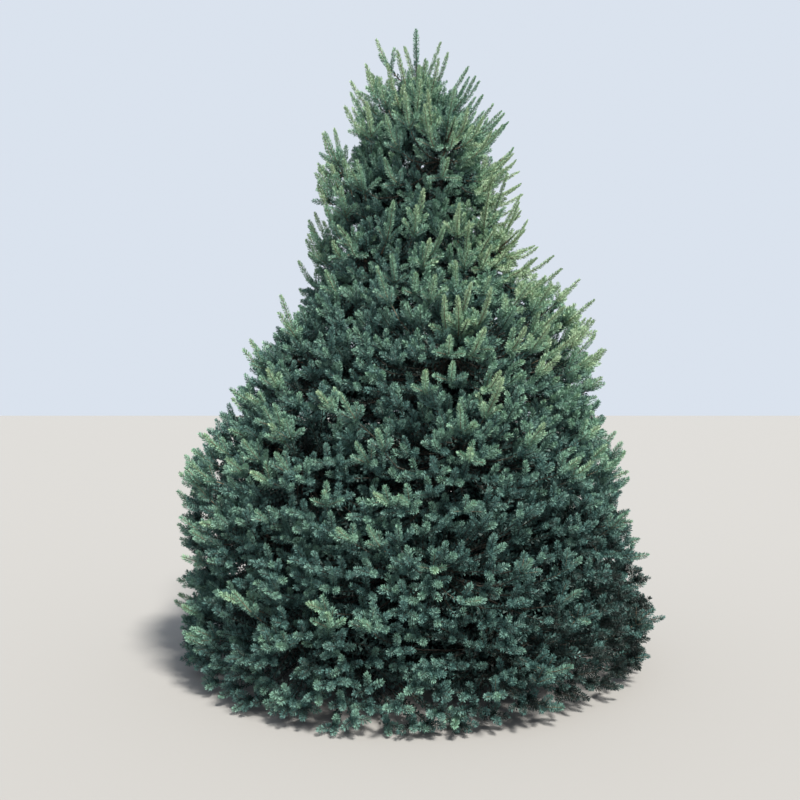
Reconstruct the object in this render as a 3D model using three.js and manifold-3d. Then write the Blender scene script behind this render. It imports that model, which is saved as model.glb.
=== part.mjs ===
// A nursery-grown spruce: one tapering trunk, tiers of boughs round it, and at the end of each bough a
// dense mass of needled twigs, with one more mass for the leader at the top.
// Millimetres, +Z up. The origin is the middle of the trunk's flat cut at ground level, and -Y is the front.
import * as THREE from "three";
import { mergeVertices } from "three/addons/utils/BufferGeometryUtils.js";
import Module from "manifold-3d";

const wasm = await Module();
wasm.setup();

const HEIGHT = 3690;

// The crown's outline: its reach from the trunk's axis on the left (-X) and on the right (+X), by height.
const OUTLINE = [
  { height: 0, left: 1320, right: 1330 },
  { height: 280, left: 1410, right: 1430 },
  { height: 950, left: 1400, right: 1240 },
  { height: 1600, left: 1110, right: 1130 },
  { height: 2080, left: 800, right: 1060 },
  { height: 2380, left: 665, right: 700 },
  { height: 3100, left: 535, right: 545 },
  { height: 3350, left: 400, right: 400 },
  { height: 3610, left: 240, right: 215 },
  { height: HEIGHT, left: 40, right: 40 },
];

// Tiers from the skirt up: how many boughs, how many rows of twigs each mass has and how many twigs side by
// side in a row, the height at which the tier's underside meets the crown's outline, and how steeply it
// rises outwards. The last tier is the leader's.
const TIERS = [
  { boughs: 6, rows: 2, twigs: 6, underside: 30, rise: 0 },
  { boughs: 6, rows: 2, twigs: 5, underside: 540, rise: 0.13 },
  { boughs: 5, rows: 2, twigs: 6, underside: 1040, rise: 0.27 },
  { boughs: 4, rows: 2, twigs: 6, underside: 1580, rise: 0.4 },
  { boughs: 4, rows: 2, twigs: 4, underside: 2130, rise: 0.5 },
  { boughs: 3, rows: 2, twigs: 4, underside: 2680, rise: 0.62 },
  { boughs: 1, rows: 3, twigs: 7, underside: 3150, rise: 0.8 },
];
const LEADER = TIERS.length - 1;
const TIER_TURN = 0.62;
const SEED = 1000;

// Separate pieces keep this far apart, and a mass keeps the margin away from the room of another.
const CLEARANCE = 0.3;
const ROOM_MARGIN = 6;

// The undersides rise and fall round the tree, by the full height of the wave at a middling distance from
// the trunk, and the sides between two masses are slanted.
const WAVE_HEIGHT = 65;
const WAVE_REACH = 900;
const WAVES = 3;
const SLANT = 0.13;

const TRUNK_TOP = 3140;
const TRUNK_FOOT_RADIUS = 64;
const TRUNK_TOP_RADIUS = 11;
const TRUNK_TAPER = 0.9;
const TRUNK_SWEEP = 14;
const FLARE_RADIUS = 26;
const FLARE_HEIGHT = 110;
const FLARE_LOBES = 5;
const FLARE_LOBE_DEPTH = 0.3;

// A bough is bare for this share of its length. The rest of the same limb is the stem of its mass.
const BARE_SHARE = 0.56;
const BOUGH_SAG = 45;
const BOUGH_STAGGER = 38;
const BOUGH_COLLAR = 0.35;
const LIMB_THICKNESS = 0.0155;
const STEM_END = 0.9;
const STEM_TIP_RADIUS = 6;

// The rounding and the seeded swelling of a mass, as shares of the crown's reach.
const ROUNDING = 0.1;
const SWELLING = 0.035;

// A mass's core keeps clear of the rooms beside it, and its corners are rounded. Its depth under the
// outline, in front and at the back, and the seeded roughness of it are shares of the crown's reach.
const CORE_GAP = 13;
const CORE_CORNER = 0.11;
const CORE_FRONT = 0.15;
const CORE_BACK = 0.42;
const CORE_ROUNDING = 0.06;
const CORE_ROUGHNESS = 0.022;
const LEADER_CORE_HEIGHTS = [2900, 3090, 3210, 3330, 3440];
const LEADER_CORE_SHARE = 0.66;

// Twigs leave the stem of a mass between two shares of its length, and their tips are spread over the face of
// the room with a seeded jitter.
const TWIGS_FROM = 0.23;
const TWIGS_TO = 0.55;
const TIP_SPREAD = 0.92;
const TIP_JITTER = 0.2;
const TWIG_RADIUS = 11;

// A spray of needles is slim at its foot, widest in the middle and blunt at its tip, and the leader's sprays
// are shorter. One that would leave its room is tried again at smaller sizes before it is left out.
const SPRAY_LENGTH = 400;
const SPRAY_RADIUS = 92;
const SPRAY_WIDEST = 0.5;
const SPRAY_BLUNT = 0.8;
const LEADER_SPRAY_SHARE = 0.55;
const SIZES = [1, 0.8, 0.62];

// How strongly shoots turn up at the ground and at the leader.
const SKIRT_UPTURN = 0.18;
const LEADER_UPTURN = 1.35;

const MERGE_DISTANCE = 1e-3;
const SMALLEST_EDGE = 0.2;
const UP = new THREE.Vector3(0, 0, 1);
const SIDEWAYS = Math.PI / 2;
const { clamp, lerp } = THREE.MathUtils;

// A seeded multiplicative generator: the same seed always grows the same tree.
function seeded(seed) {
  let state = seed;
  return (low, high) => {
    state = (state * 16807) % 2147483647;
    return low + ((high - low) * state) / 2147483647;
  };
}

// The crown's reach at a height, on the side that faces the angle `turn` from +X.
function crownRadius(z, turn) {
  const above = clamp(OUTLINE.findIndex((station) => station.height > z), 1, OUTLINE.length - 1);
  const [low, high] = [OUTLINE[above - 1], OUTLINE[above]];
  const share = clamp((z - low.height) / (high.height - low.height), 0, 1);
  const rightness = (1 + Math.cos(turn)) / 2;
  return lerp(lerp(low.left, high.left, share), lerp(low.right, high.right, share), rightness);
}

// The height of a tier's underside at distance r from the trunk's axis, in the direction `turn`.
function undersideAt(tier, r, turn) {
  const { underside, rise } = TIERS[tier];
  const wave = tier === 0 ? 0 : WAVE_HEIGHT * Math.sin(WAVES * turn + 2 * tier);
  return underside - rise * (crownRadius(underside, SIDEWAYS) - r) + (wave * r) / WAVE_REACH;
}

// The room that one mass keeps to: a sector of a tier, with an outline that swells in its middle.
// Places in it are given by u across and v up, both from -1 to 1, and a depth in from the outline.
class Room {
  constructor(tier, index) {
    this.tier = tier;
    this.random = seeded(SEED + 97 * tier + 13 * index);
    this.half = Math.PI / TIERS[tier].boughs;
    this.azimuth = tier * TIER_TURN + 2 * index * this.half;
    this.slant = tier % 2 ? SLANT : -SLANT;
    this.swell = 1 + this.random(-SWELLING, SWELLING);
  }

  floorAt(r, turn) {
    return undersideAt(this.tier, r, turn);
  }

  ceilingAt(r, turn) {
    return this.tier === LEADER ? HEIGHT + ROOM_MARGIN : undersideAt(this.tier + 1, r, turn);
  }

  reach(u, v) {
    const top = this.tier === LEADER ? HEIGHT : TIERS[this.tier + 1].underside;
    const z = lerp(TIERS[this.tier].underside, top, (v + 1) / 2);
    return crownRadius(z, this.azimuth + u * this.half) * (this.swell - (ROUNDING * (u * u + v * v)) / 2);
  }

  place(u, v, depth) {
    const r = Math.max(0, this.reach(u, v) - depth);
    const turn = this.azimuth + u * this.half + v * this.slant;
    const z = lerp(this.floorAt(r, turn), this.ceilingAt(r, turn), (v + 1) / 2);
    return new THREE.Vector3(r * Math.cos(turn), r * Math.sin(turn), z);
  }

  // True where a point is in the room, at least the margin away from the rooms beside, above and below.
  holds(point, margin) {
    const r = Math.hypot(point.x, point.y);
    const turn = Math.atan2(point.y, point.x);
    const [floor, ceiling] = [this.floorAt(r, turn), this.ceilingAt(r, turn)];
    if (point.z < floor + margin || point.z > ceiling - margin) return false;
    const v = (2 * (point.z - floor)) / (ceiling - floor) - 1;
    const off = turn - this.azimuth - v * this.slant;
    const near = Math.atan2(Math.sin(off), Math.cos(off));
    const outline = this.reach(near / this.half, v);
    if (r > outline + margin) return false;
    return this.tier === LEADER || (r * (this.half - Math.abs(near)) > margin && r > BARE_SHARE * outline);
  }

  holdsAll(geometry) {
    const position = geometry.attributes.position;
    const point = new THREE.Vector3();
    for (let i = 0; i < position.count; i++) {
      if (!this.holds(point.fromBufferAttribute(position, i), ROOM_MARGIN)) return false;
    }
    return true;
  }
}

// A closed geometry as a solid.
function solidOf(geometry) {
  const bare = geometry.clone();
  bare.deleteAttribute("normal");
  bare.deleteAttribute("uv");
  const merged = mergeVertices(bare, MERGE_DISTANCE);
  const vertProperties = merged.attributes.position.array;
  const triVerts = new Uint32Array(merged.index.array);
  return new wasm.Manifold(new wasm.Mesh({ numProp: 3, vertProperties, triVerts }));
}

function geometryOf(solid) {
  const { vertProperties, triVerts } = solid.getMesh();
  const geometry = new THREE.BufferGeometry();
  geometry.setAttribute("position", new THREE.BufferAttribute(vertProperties, 3));
  geometry.setIndex(new THREE.BufferAttribute(triVerts, 1));
  return geometry;
}

// The largest body of a solid as a mesh: its hollows are filled, and its loose scraps are dropped.
function meshOf(name, solid, material) {
  const bodies = solidOf(geometryOf(solid)).decompose();
  const largest = bodies.sort((a, b) => b.volume() - a.volume())[0];
  const geometry = geometryOf(largest);
  geometry.computeVertexNormals();
  const mesh = new THREE.Mesh(geometry, material);
  mesh.name = name;
  return mesh;
}

// A point at distance `out` from a curve, at share `along` of it and the angle `turn` round it.
function besideCurve(curve, along, out, turn) {
  const forward = curve.getTangent(along);
  const aside = new THREE.Vector3().crossVectors(UP, forward);
  if (aside.lengthSq() < 1e-6) aside.set(1, 0, 0);
  aside.normalize();
  const over = new THREE.Vector3().crossVectors(forward, aside);
  const point = curve.getPoint(along);
  return point.addScaledVector(aside, out * Math.cos(turn)).addScaledVector(over, out * Math.sin(turn));
}

// A bar that follows a curve. Its rings are shares along the curve and radii, from one end on the curve
// to the other, and a ring with a turn is turned by that share of a side.
function bar(curve, sides, rings, roll = 0) {
  const profile = rings.map((ring) => new THREE.Vector2(ring.out, ring.along));
  const geometry = new THREE.LatheGeometry(profile, sides);
  const position = geometry.attributes.position;
  for (let i = 0; i < position.count; i++) {
    const ring = rings[i % rings.length];
    const side = Math.floor(i / rings.length) % sides;
    const turn = roll + ((side + (ring.turn ?? 0)) * 2 * Math.PI) / sides;
    const point = besideCurve(curve, ring.along, ring.out, turn);
    position.setXYZ(i, point.x, point.y, point.z);
  }
  return geometry;
}

// A part of a curve, from share `from` to share `to` of it.
function stretch(curve, from, to) {
  const part = new THREE.Curve();
  part.getPoint = (t) => curve.getPoint(lerp(from, to, t));
  return part;
}

// A limb with flat ends that follows a curve: radiusAt gives its radius at a share of its length.
function limb(curve, sides, spans, radiusAt) {
  const rings = Array.from({ length: spans + 1 }, (_, i) => ({ along: i / spans, out: radiusAt(i / spans) }));
  return solidOf(bar(curve, sides, [{ along: 0, out: 0 }, ...rings, { along: 1, out: 0 }]));
}

// How strongly the shoots at height z turn up.
function upturn(z) {
  return lerp(SKIRT_UPTURN, LEADER_UPTURN, z / HEIGHT);
}

// The trunk stands a little swept, and its foot spreads in low lobes.
function trunkCentre(z) {
  const bend = Math.sin((Math.PI * Math.min(z, TRUNK_TOP)) / TRUNK_TOP);
  return new THREE.Vector3(TRUNK_SWEEP * bend, -0.5 * TRUNK_SWEEP * bend, z);
}

function trunkSolid(extra) {
  const geometry = new THREE.CylinderGeometry(1, 1, 1, 15, 10);
  const position = geometry.attributes.position;
  for (let i = 0; i < position.count; i++) {
    const z = TRUNK_TOP * (0.5 + position.getY(i)) ** 2;
    const turn = Math.atan2(-position.getZ(i), position.getX(i));
    const lobes = 1 + FLARE_LOBE_DEPTH * Math.cos(FLARE_LOBES * turn);
    const radius = lerp(TRUNK_FOOT_RADIUS, TRUNK_TOP_RADIUS, (z / TRUNK_TOP) ** TRUNK_TAPER);
    const flare = FLARE_RADIUS * lobes * Math.exp(-z / FLARE_HEIGHT);
    const out = Math.hypot(position.getX(i), position.getZ(i)) * (radius + flare + extra);
    const centre = trunkCentre(z);
    position.setXYZ(i, centre.x + out * Math.cos(turn), centre.y + out * Math.sin(turn), z);
  }
  return solidOf(geometry);
}

// The limb of a room, from the trunk's axis to the mass's furthest tip. The limbs of a tier leave the
// trunk one above the other, so that they stay clear of each other there.
function limbCurve(room, index) {
  const middle = (room.floorAt(0, 0) + room.ceilingAt(0, 0)) / 2;
  const step = index - (TIERS[room.tier].boughs - 1) / 2;
  const start = trunkCentre(middle + step * BOUGH_STAGGER);
  const tip = room.place(room.random(-0.15, 0.15), room.random(0, 0.25), 0);
  const bend = start.clone().lerp(tip, 0.5).addScaledVector(UP, -BOUGH_SAG);
  return new THREE.QuadraticBezierCurve3(start, bend, tip);
}

// The dense inside of a mass: a lumpy cushion that fills its room up to a gap all round.
function coreSolid(room) {
  const geometry = new THREE.BoxGeometry(2, 2, 2, 4, 3, 1);
  geometry.deleteAttribute("normal");
  geometry.deleteAttribute("uv");
  const cushion = mergeVertices(geometry, MERGE_DISTANCE);
  const position = cushion.attributes.position;
  for (let i = 0; i < position.count; i++) {
    const [x, y, z] = [position.getX(i), position.getY(i), position.getZ(i)];
    const edge = (x ** 4 + y ** 4) / 2;
    const full = room.reach(0, y);
    const rough = room.random(-CORE_ROUGHNESS, CORE_ROUGHNESS);
    const front = CORE_FRONT + CORE_ROUNDING * edge + rough;
    const back = CORE_BACK - CORE_ROUNDING * edge;
    const depth = full * (z > 0 ? front : back);
    const width = room.half * (full - depth);
    const turn = room.azimuth + x * room.half;
    const height = room.ceilingAt(full - depth, turn) - room.floorAt(full - depth, turn);
    const gap = CORE_GAP + full * room.random(0, CORE_ROUGHNESS);
    const u = x * (1 - gap / width) * (1 - CORE_CORNER * y * y);
    const v = y * (1 - (2 * gap) / height) * (1 - CORE_CORNER * x * x);
    const point = room.place(u, v, depth);
    position.setXYZ(i, point.x, point.y, point.z);
  }
  return solidOf(cushion);
}

// The leader's core: a cone that follows the crown's outline inside it, over the trunk's tip.
function leaderCoreSolid() {
  const [bottom, ...heights] = LEADER_CORE_HEIGHTS;
  const top = heights.pop();
  const axis = new THREE.LineCurve3(new THREE.Vector3(0, 0, bottom), new THREE.Vector3(0, 0, top));
  const rings = heights.map((z, i) => {
    const out = LEADER_CORE_SHARE * crownRadius(z, SIDEWAYS);
    return { along: (z - bottom) / (top - bottom), out, turn: i / 2 };
  });
  return solidOf(bar(axis, 7, [{ along: 0, out: 0 }, ...rings, { along: 1, out: 0 }]));
}

// The largest of its sizes at which a shape stays in its room, as a list of one solid or of none.
function fitted(room, shapeAt) {
  const shape = SIZES.map(shapeAt).find((grown) => room.holdsAll(grown));
  return shape ? [solidOf(shape)] : [];
}

// One twig from the limb to a tip on the outline, with a spray of needles for its end.
function twigSolid(room, start, tip) {
  const scale = room.random(0.85, 1.15) * lerp(1, LEADER_SPRAY_SHARE, tip.z / HEIGHT);
  const roll = room.random(0, 2 * Math.PI);
  const length = Math.min(scale * SPRAY_LENGTH, 0.75 * start.distanceTo(tip));
  const radius = (length / SPRAY_LENGTH) * SPRAY_RADIUS;
  const direction = tip.clone().sub(start).normalize().addScaledVector(UP, upturn(tip.z)).normalize();
  const bend = tip.clone().addScaledVector(direction, -length);
  const twig = new THREE.QuadraticBezierCurve3(start, bend, tip);
  const at = (share) => 1 - ((1 - share) * length) / twig.getLength();
  return fitted(room, (size) => {
    const rings = [
      { along: 0, out: 0 },
      { along: 0.04, out: TWIG_RADIUS },
      { along: at(SPRAY_WIDEST), out: size * radius },
      { along: at(SPRAY_BLUNT), out: SPRAY_BLUNT * size * radius, turn: 0.5 },
      { along: 1, out: 0 },
    ];
    return bar(stretch(twig, 0, size ** 0.5), 3, rings, roll);
  });
}

// All of a mass: its stem, its core and its rows of twigs, joined into one body.
function massSolid(room, curve, stemStart, thickness, core) {
  const stem = stretch(curve, stemStart, STEM_END);
  const parts = [limb(stem, 5, 2, (share) => lerp(thickness, STEM_TIP_RADIUS, share)), core];
  const tip = curve.getPoint(1);
  const first = lerp(stemStart, 1, TWIGS_FROM);
  const last = lerp(stemStart, 1, TWIGS_TO);
  parts.push(...twigSolid(room, curve.getPoint(first), tip));
  const { rows, twigs } = TIERS[room.tier];
  for (let i = 0; i < rows * twigs; i++) {
    const row = i % rows;
    const column = Math.floor(i / rows) + (row % 2 ? 0.75 : 0.25) + room.random(-TIP_JITTER, TIP_JITTER);
    const u = TIP_SPREAD * ((2 * column) / twigs - 1);
    const v = TIP_SPREAD * ((2 * (row + 0.5 + room.random(-TIP_JITTER, TIP_JITTER))) / rows - 1);
    const target = room.place(u, v, 0);
    const start = clamp(1 - target.distanceTo(tip) / curve.getLength(), first, last);
    parts.push(...twigSolid(room, curve.getPoint(start), target));
  }
  return wasm.Manifold.union(parts).simplify(SMALLEST_EDGE);
}

const bark = new THREE.MeshStandardMaterial({ color: 0x6b5a4a, roughness: 0.9, metalness: 0 });
const limbBark = new THREE.MeshStandardMaterial({ color: 0x7a6248, roughness: 0.85, metalness: 0 });
const needles = new THREE.MeshStandardMaterial({ color: 0x4b6f66, roughness: 0.7, metalness: 0 });

const tree = new THREE.Group();
tree.add(meshOf("trunk", trunkSolid(0), bark));
const trunkWithClearance = trunkSolid(CLEARANCE);

for (let tier = 0; tier < LEADER; tier++) {
  for (let index = 0; index < TIERS[tier].boughs; index++) {
    const name = `${tier + 1}_${index + 1}`;
    const room = new Room(tier, index);
    const curve = limbCurve(room, index);
    const length = curve.getLength();
    const foot = LIMB_THICKNESS * length;
    const radiusAt = (share) => foot * (1 - BARE_SHARE * share + BOUGH_COLLAR * Math.exp(-9 * share));
    const bough = limb(stretch(curve, 0, BARE_SHARE), 5, 3, radiusAt).subtract(trunkWithClearance);
    tree.add(meshOf(`bough_${name}`, bough, limbBark));
    const stemStart = BARE_SHARE + CLEARANCE / length;
    const mass = massSolid(room, curve, stemStart, radiusAt(1), coreSolid(room));
    tree.add(meshOf(`foliage_${name}`, mass, needles));
  }
}

const leaderRoom = new Room(LEADER, 0);
const leaderFoot = trunkCentre(TRUNK_TOP + CLEARANCE);
const leader = new THREE.LineCurve3(leaderFoot, new THREE.Vector3(0, 0, HEIGHT));
const leaderCore = leaderCoreSolid().subtract(trunkWithClearance);
const leaderMass = massSolid(leaderRoom, leader, 0, TRUNK_TOP_RADIUS, leaderCore);
tree.add(meshOf("foliage_leader", leaderMass, needles));

export default tree;
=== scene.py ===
# Dresses a whole spruce tree: bark on its trunk and boughs, and twigs with needles in place of its masses.
# Metres, +Z up. The origin is the middle of the trunk's flat cut at ground level, and -Y is the front.
import math

import bmesh
import bpy
from bpy.props import FloatProperty, FloatVectorProperty, IntProperty, PointerProperty
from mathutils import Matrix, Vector, noise


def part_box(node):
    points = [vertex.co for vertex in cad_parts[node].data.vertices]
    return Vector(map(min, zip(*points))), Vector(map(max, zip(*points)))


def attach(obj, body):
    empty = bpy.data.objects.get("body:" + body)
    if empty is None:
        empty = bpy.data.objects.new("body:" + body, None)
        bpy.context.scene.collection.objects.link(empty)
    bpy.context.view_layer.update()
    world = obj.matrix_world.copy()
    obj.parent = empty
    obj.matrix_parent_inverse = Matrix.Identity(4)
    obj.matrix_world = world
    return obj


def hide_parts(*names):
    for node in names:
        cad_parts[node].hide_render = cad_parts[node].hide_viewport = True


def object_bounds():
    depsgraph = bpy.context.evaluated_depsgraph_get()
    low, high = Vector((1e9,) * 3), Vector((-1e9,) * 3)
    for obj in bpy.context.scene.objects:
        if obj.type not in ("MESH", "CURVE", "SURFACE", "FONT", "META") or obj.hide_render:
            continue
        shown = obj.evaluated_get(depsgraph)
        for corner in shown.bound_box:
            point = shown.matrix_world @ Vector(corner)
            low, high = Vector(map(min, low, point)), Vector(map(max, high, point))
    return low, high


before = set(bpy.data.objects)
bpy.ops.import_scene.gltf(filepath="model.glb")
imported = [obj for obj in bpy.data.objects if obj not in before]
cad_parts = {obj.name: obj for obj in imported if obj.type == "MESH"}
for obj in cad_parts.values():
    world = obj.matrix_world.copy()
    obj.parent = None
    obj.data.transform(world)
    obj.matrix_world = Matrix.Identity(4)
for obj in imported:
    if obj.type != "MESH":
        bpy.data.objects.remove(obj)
CAD_LOW, CAD_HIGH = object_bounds()

bl_info = {
    "name": "Spruce Tree",
    "version": (1, 0, 0),
    "blender": (4, 5, 0),
    "location": "View3D > Sidebar > Spruce",
    "description": "Grows the bark, twigs and needles of a spruce tree round its solids",
    "category": "Object",
}

# The crown of the solids, repeated: its reach from the axis on the left and on the right, by height.
HEIGHT = CAD_HIGH.z
OUTLINE = (
    (0.0, 1.32, 1.33),
    (0.28, 1.41, 1.43),
    (0.95, 1.4, 1.24),
    (1.6, 1.11, 1.13),
    (2.08, 0.8, 1.06),
    (2.38, 0.665, 0.7),
    (3.1, 0.535, 0.545),
    (3.35, 0.4, 0.4),
    (3.61, 0.24, 0.215),
    (HEIGHT, 0.04, 0.04),
)

# The tiers from the skirt up: how many boughs, the underside's height at the outline and its outward rise.
TIERS = (
    (6, 0.03, 0.0),
    (6, 0.54, 0.13),
    (5, 1.04, 0.27),
    (4, 1.58, 0.4),
    (4, 2.13, 0.5),
    (3, 2.68, 0.62),
    (1, 3.15, 0.8),
)
LEADER = len(TIERS) - 1
TIER_TURN = 0.62

# The seed of each mass, and the generator that draws from it.
SEED = 1000
TIER_SEED = 97
BOUGH_SEED = 13
DRAW_FACTOR = 16807
DRAW_RANGE = 2147483647

# The room of each mass: its wavy underside, the slant of its sides and its rounded face.
WAVE_HEIGHT = 0.065
WAVE_REACH = 0.9
WAVES = 3
SLANT = 0.13
ROUNDING = 0.1
SWELLING = 0.035
CEILING_MARGIN = 0.006
CREASE_FILL = 0.85

# The trunk, whose rings stand closer together towards the flare.
TRUNK_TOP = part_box("trunk")[1].z
TRUNK_TAPER = 0.9
TRUNK_SWEEP = 0.014
TRUNK_SIDES = 80
TRUNK_RINGS = 330
TRUNK_RING_POWER = 1.25
FLARE_HEIGHT = 0.11
FLARE_LOBES = 5
FLARE_LOBE_DEPTH = 0.3

# The limbs: each is a bare bough at first, with a collar at the trunk, and then the stem of its mass.
BARE_SHARE = 0.56
BOUGH_SAG = 0.045
BOUGH_STAGGER = 0.038
BOUGH_COLLAR = 0.35
COLLAR_FALL = 9
LIMB_ACROSS = 0.15
LIMB_UP = 0.25
LIMB_THICKNESS = 0.0155
LIMB_START = 0.02
LIMB_SIDES = 14
LIMB_RING_GAP = 0.018
STEM_END = 0.9
STEM_TIP_RADIUS = 0.006
STEM_END_RADIUS = 0.002
END_SHOOT_FROM = 0.66

# The relief of bark: its plates, the cracks between them and the ripple over all.
CRACK_SLOPE = 3
PLATE_DROP = 0.6
RIPPLE = 0.4
RIPPLE_WIDTH = 4
PLATE_HEIGHT = 1.7
TOP_RELIEF = 0.2
LIMB_PLATE = 0.008
LIMB_RELIEF = 0.0009

# The twigs: where they leave their limb, and how far over the face of the room their tips are spread.
TWIGS_FROM = 0.23
TWIGS_TO = 0.55
LEADER_FROM = 0.02
LEADER_LAG = 0.32
FACE_LOW = -1.18
TOP_LOW = -1.32
SKIRT_LOW = -1.5
FACE_HIGH = 1.04
FACE_ACROSS = 1.1
FEWEST_TIPS = 3
ROW_OFFSET = 0.25
TIP_JITTER = 0.35
TWIG_TAPER = 0.3
TWIG_SIDES = 3

# The limits that tips keep to.
LOWEST_SHOOT = 0.018
OUTREACH = 0.05
REACH_SHARE = 0.985
BODY_TOP = HEIGHT - 0.27
INNER_TOP = HEIGHT - 0.42

# How far within the outline common tips end: unevenly, and hardly at all in the skirt.
SMOOTH_SKIRT = 0.08
SKIRT_REACH = 0.09
LEAST_ROUGHNESS = 0.3
ROUGHNESS_POWER = 1.5
INSET_POWER = 1.5
SPIKE_INSET = 0.05
SHOULDER_X = 0.5
SHOULDER_SLOPE = 3
AXIS_MARGIN = 0.01

# Fresh shoots are more frequent towards the top, and long slim spikes on the upper right.
FRESH_AT_GROUND = 0.6
FRESH_RISE = 1.4
SPIKE_FROM = 0.42
SPIKE_RISE = 5
SPIKE_ACROSS = 1.6
SPIKE_SHADE = 1.0
SPIKE_STRETCH = 0.4
SPIKE_SLIMNESS = 0.34

# How strongly shoots turn up at the ground and at the leader, and how many times as much the fresh ones do.
SKIRT_UPTURN = 0.18
LEADER_UPTURN = 1.35
FRESH_UPTURN = 1.7
SPIKE_UPTURN = 0.8
OUTWARDNESS = 0.6
STRAY = 0.28
BEND_SHARE = 0.75
LONGEST_BEND = 0.4
BEND_STEPS = 24

# Leading and side shoots: the spans that their lengths, angles and places are drawn from.
LEAD_SPAN = (0.75, 1.15)
TOP_GIRTH = 0.82
TOP_GIRTH_POWER = 3
BARE_FOOT = 0.1
WHORL = 3
WHORL_TURN = 0.3
WHORL_BACK = 0.92
NODE_SPAN = (0.85, 1.15)
ROLL_STEP = 0.5
ROLL_STRAY = 0.25
SIDE_SPREAD = (0.75, 1.1)
SIDE_SPAN = (0.65, 1)
SIDE_CURL = 0.16
SIDE_RADII = (0.0019, 0.0012)

# Tones of needles run from 0, the shaded old ones, to 7, the pale tips of fresh shoots.
TONES = 8
OLD_AND_SHADED_TONE = 0.4
COMMON_TONES = (1.2, 3.9)
FRESH_TONES = (4.1, 5.8)
SIDE_FADE = (0.6, 2)
LEVEL_FADE = 0.5
TONE_RISE = 2.0

# Painted light and shade: needles are dealt paler tones on the upper right, most of all at seven tenths of
# the height, as painted sunlight, and darker tones low down and on the lower right, as painted shade.
SUN_TONE = 2.2
SHADY_RISE = 0.35
SUN_SLANT = 5.0
SUN_FROM = 0.3
SUN_TURN = 2.5
SUN_FALL = 3
SHADY_X = -0.08

# Tones of twigs run from 0, the older ones, to 2, this year's.
FRESH_BARK = 2.2
COMMON_BARK = 0.8
BARK_RISE = 0.6
FRESH_SIDE_BARK = (1, 2)
COMMON_SIDE_BARK = (0, 0.8)

# The leader, and the shoots round it: the side each leans to, how far, and its drop below the leader.
LEADER_RADII = (0.011, 0.003)
LEADER_NEEDLES = (0.5, 0.975)
LEADER_GIRTH = 1.1
LEADER_TONE = 4.3
TOP_SHOOTS = (
    (3.14, 0.235, 0.07),
    (2.49, 0.085, 0.09),
    (-0.35, 0.15, 0.11),
    (-0.6, 0.22, 0.2),
    (4.0, 0.17, 0.19),
    (-1.2, 0.14, 0.24),
    (2.9, 0.27, 0.25),
    (0.15, 0.29, 0.33),
    (1.2, 0.2, 0.12),
    (1.75, 0.22, 0.2),
)
TOP_FOOT = 0.45
TOP_FOOT_DROP = 1.2
TOP_FEET = (0.05, 0.4)
TOP_BEND = 0.26
TOP_LEAN = 0.35

# Old needles stand further apart than fresh ones, and each is broader than life for it.
OLD_LENGTH = 0.27
OLD_GAP = 3.8
OLD_BREADTH = 1.9
INNER_GAP = 7.5
INNER_GIRTH = 1.55
INNER_BREADTH = 2.6

# The older twigs inside a mass: the spans that their places are drawn from.
INNER_LEVELS = (-1.2, 1.1)
INNER_DEPTHS = (0.12, 0.6)
INNER_ACROSS = (-1.1, 1.1)
INNER_LAG = (0.05, 0.25)
INNER_FEET = (0.2, 0.8)
INNER_LOW = 0.09
INNER_SAG = 0.03
INNER_TAPER = 0.8
INNER_END_RADIUS = 0.0015
INNER_TONES = (-0.4, 0.8)
INNER_NEEDLES_FROM = 0.25

# A needle's bent back, and the small differences between the needles on a shoot.
NEEDLE_SIDE = 0.6
NEEDLE_BEND = 0.7
SHORTENING = -0.25
TIP_POWER = 7.0
FOOT_POWER = 2.0
LEAN_STRAY = 0.15
LENGTH_SPAN = (0.88, 1.06)
TONE_STRAY = 0.35
CLEARANCE = 0.0005

# The finish of the materials: their roughness, the grain of the bark and how strongly its parts differ.
BARK_ROUGHNESS = 0.9
TWIG_ROUGHNESS = 0.8
NEEDLE_ROUGHNESS = 0.55
SHEEN = 0.35
BARK_STRETCH = (1, 1, 0.55)
TRUNK_GRAIN = 75
TRUNK_CRACKING = 0.5
BOUGH_GRAIN = 130
BOUGH_CRACKING = 0.25
FIBRES = 3
PLATE_DRIFT = 0.9
CRACK_WIDTH = 0.12
PLATE_SHADES = 0.6
FIBRE_SHADES = 0.9
SHADE_BASE = 0.1
KNOBS = 420

# The stage: a square floor just under the ground, and a warm light from above on the front right.
SQUARE = ((-1, -1), (1, -1), (1, 1), (-1, 1))
FLOOR_HALF = 40
FLOOR_LEVEL = -0.002
FLOOR_ROUGHNESS = 0.9
KEY_COLOUR = (1, 0.96, 0.89)
KEY_FROM = (3, -4, 8)
SENSOR_WIDTH = 36

UP = Vector((0, 0, 1))
SIDEWAYS = math.pi / 2
GOLDEN_ANGLE = math.pi * (3 - math.sqrt(5))
NEARLY_UPRIGHT = 0.1


def lerp(low, high, share):
    return low + (high - low) * share


def clamp(value, low, high):
    return min(max(value, low), high)


def between(start, aside, angle):
    """The direction at an angle from one direction towards another."""
    return math.cos(angle) * start + math.sin(angle) * aside


def seeded(seed):
    """A multiplicative generator: the same seed always grows the same tree."""
    state = seed

    def draw(low, high):
        nonlocal state
        state = state * DRAW_FACTOR % DRAW_RANGE
        return lerp(low, high, state / DRAW_RANGE)

    return draw


def crown_radius(z, turn):
    """The crown's reach at a height, on the side that faces the angle `turn` from +X."""
    above = clamp(sum(station[0] <= z for station in OUTLINE), 1, len(OUTLINE) - 1)
    low = OUTLINE[above - 1]
    high = OUTLINE[above]
    share = clamp((z - low[0]) / (high[0] - low[0]), 0, 1)
    rightness = (1 + math.cos(turn)) / 2
    return lerp(lerp(low[1], high[1], share), lerp(low[2], high[2], share), rightness)


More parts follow.
